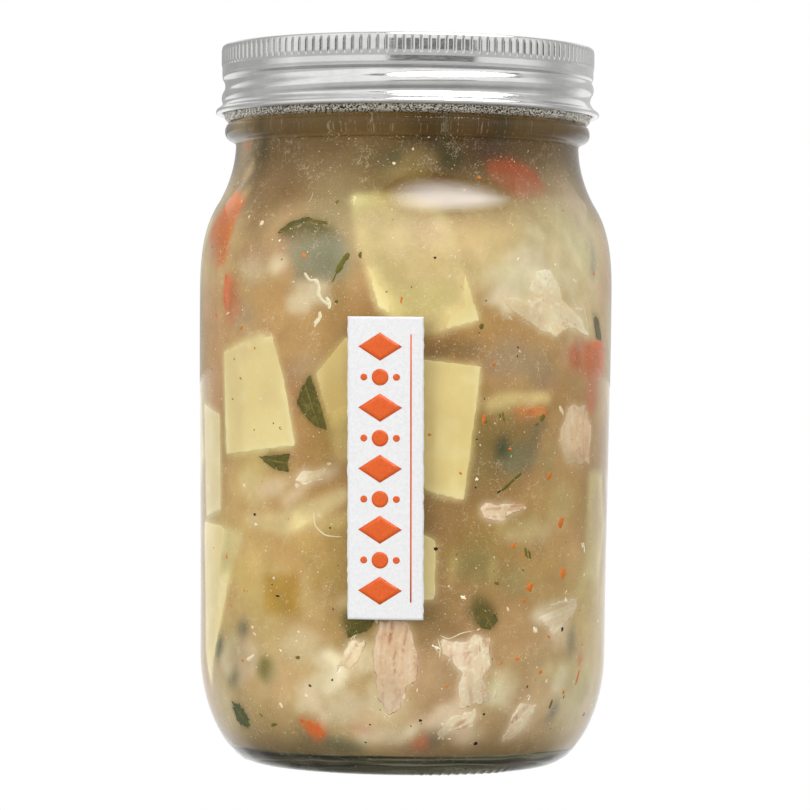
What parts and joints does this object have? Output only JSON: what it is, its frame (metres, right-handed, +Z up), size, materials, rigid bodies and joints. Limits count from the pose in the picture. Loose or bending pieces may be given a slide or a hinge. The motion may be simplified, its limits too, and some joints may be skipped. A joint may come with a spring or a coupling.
{
  "type": "jar of chicken noodle soup",
  "caption": "Clear glass screw-top jar full of chicken noodle soup, with a flat lid held by a metal screw band and a tall narrow printed label.",
  "frame": {"origin": "centre of the foot, on the surface that the jar stands on", "axes": "+Z up along the jar's axis, -Y towards the front with the label, +X to the label's right"},
  "size_m": [0.0984, 0.0988, 0.1703],
  "materials": {
    "glass": "clear, smooth, faintly green",
    "metal": "satin silver sheet metal",
    "paper": "matt white paper with orange print",
    "broth": "cloudy beige liquid with fine specks",
    "noodle": "soft cooked pasta, pale yellow",
    "chicken": "fibrous cooked meat, pale",
    "carrot": "cooked carrot, orange",
    "leaf": "cooked parsley, dark green",
    "celery": "cooked celery, pale green"
  },
  "bodies": {
    "root": {"broth": "broth", "carrot_01": "carrot", "carrot_02": "carrot", "carrot_03": "carrot", "carrot_04": "carrot", "carrot_05": "carrot", "carrot_06": "carrot", "carrot_07": "carrot", "carrot_08": "carrot", "celery_01": "celery", "celery_02": "celery", "chicken_01": "chicken", "chicken_02": "chicken", "chicken_03": "chicken", "chicken_04": "chicken", "chicken_05": "chicken", "chicken_06": "chicken", "chicken_07": "chicken", "chicken_08": "chicken", "chicken_09": "chicken", "chicken_10": "chicken", "chicken_11": "chicken", "chicken_12": "chicken", "chicken_13": "chicken", "chicken_14": "chicken", "chicken_15": "chicken", "chicken_16": "chicken", "chicken_17": "chicken", "glass_jar": "glass", "label": "paper", "leaf_01": "leaf", "leaf_02": "leaf", "leaf_03": "leaf", "leaf_04": "leaf", "leaf_05": "leaf", "leaf_06": "leaf", "leaf_07": "leaf", "leaf_08": "leaf", "leaf_09": "leaf", "lid_disc": "metal", "noodle_01": "noodle", "noodle_02": "noodle", "noodle_03": "noodle", "noodle_04": "noodle", "noodle_05": "noodle", "noodle_06": "noodle", "noodle_07": "noodle", "noodle_08": "noodle", "noodle_09": "noodle", "noodle_10": "noodle", "noodle_11": "noodle", "noodle_12": "noodle", "noodle_13": "noodle", "noodle_14": "noodle", "noodle_15": "noodle", "noodle_16": "noodle", "noodle_17": "noodle", "screw_band": "metal"}
  },
  "joints": []
}
